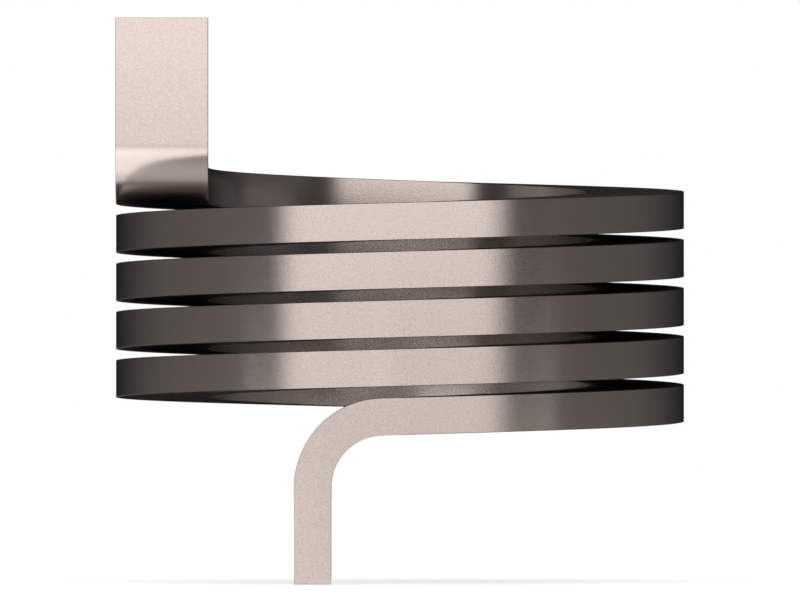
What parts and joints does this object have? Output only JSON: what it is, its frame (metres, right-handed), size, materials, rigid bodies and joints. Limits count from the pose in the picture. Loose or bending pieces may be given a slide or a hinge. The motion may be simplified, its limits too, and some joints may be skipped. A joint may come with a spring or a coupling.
{
  "type": "governor spring",
  "caption": "Torsion spring of flat steel wire wound on edge into an open right-hand coil, with a flat tang bent along the axis at each end.",
  "frame": {"origin": "on the coil's axis, level with the middle of the wire where the coil begins", "axes": "+Z along the coil's axis, towards the tang at the coil's end; -Y towards the place where the coil begins; -X towards the place where it ends"},
  "size_m": [0.0308, 0.0307, 0.0304],
  "materials": {
    "spring_steel": "warm grey spring steel, satin, with a fine even grain and bright edges"
  },
  "bodies": {
    "root": {"governor_spring": "spring_steel"}
  },
  "joints": []
}
